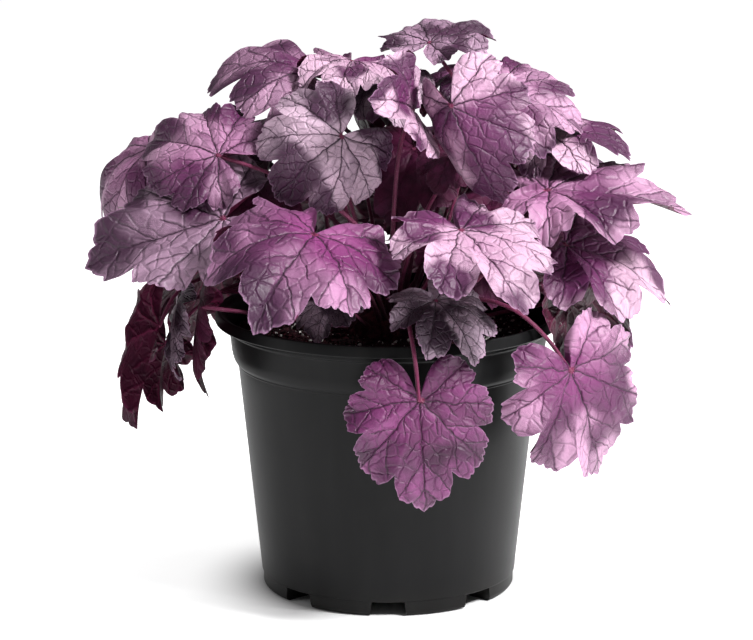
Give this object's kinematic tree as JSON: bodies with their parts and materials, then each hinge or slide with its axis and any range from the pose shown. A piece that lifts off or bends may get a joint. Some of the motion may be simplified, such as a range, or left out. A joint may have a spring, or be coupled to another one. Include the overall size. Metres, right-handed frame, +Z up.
{
  "type": "heuchera plant",
  "caption": "Mounded coral bells plant with long-stalked, lobed and toothed leaves, standing in a round tapered nursery pot with a rim and drain notches.",
  "frame": {"origin": "centre of the underside of the pot, on the surface that the pot stands on", "axes": "+Z up along the pot's axis, -Y towards the viewer's side of the plant, +X to the viewer's right"},
  "size_m": [0.3239, 0.2823, 0.3072],
  "materials": {
    "pot": "black injection-moulded plastic with a soft satin sheen",
    "soil": "moist crumbly peat and bark compost with white perlite grains",
    "crown": "rough woody crown covered in old stalk scales",
    "leaf": "quilted pink-lilac leaf with dark purple veins and a maroon underside"
  },
  "bodies": {
    "root": {"pot": "pot", "soil": "soil", "crown": "crown", "leaf_hanging_1": "leaf", "leaf_hanging_2": "leaf", "leaf_hanging_3": "leaf", "leaf_inner_1": "leaf", "leaf_inner_2": "leaf", "leaf_inner_3": "leaf", "leaf_inner_4": "leaf", "leaf_inner_5": "leaf", "leaf_inner_6": "leaf", "leaf_inner_7": "leaf", "leaf_lower_1": "leaf", "leaf_lower_10": "leaf", "leaf_lower_2": "leaf", "leaf_lower_3": "leaf", "leaf_lower_4": "leaf", "leaf_lower_5": "leaf", "leaf_lower_6": "leaf", "leaf_lower_7": "leaf", "leaf_lower_8": "leaf", "leaf_lower_9": "leaf", "leaf_middle_1": "leaf", "leaf_middle_10": "leaf", "leaf_middle_2": "leaf", "leaf_middle_3": "leaf", "leaf_middle_4": "leaf", "leaf_middle_5": "leaf", "leaf_middle_6": "leaf", "leaf_middle_7": "leaf", "leaf_middle_8": "leaf", "leaf_middle_9": "leaf", "leaf_top_1": "leaf", "leaf_top_10": "leaf", "leaf_top_11": "leaf", "leaf_top_2": "leaf", "leaf_top_3": "leaf", "leaf_top_4": "leaf", "leaf_top_5": "leaf", "leaf_top_6": "leaf", "leaf_top_7": "leaf", "leaf_top_8": "leaf", "leaf_top_9": "leaf", "leaf_upper_1": "leaf", "leaf_upper_2": "leaf", "leaf_upper_3": "leaf", "leaf_upper_4": "leaf", "leaf_upper_5": "leaf", "leaf_upper_6": "leaf", "leaf_upper_7": "leaf", "leaf_young_1": "leaf", "leaf_young_2": "leaf"}
  },
  "joints": []
}
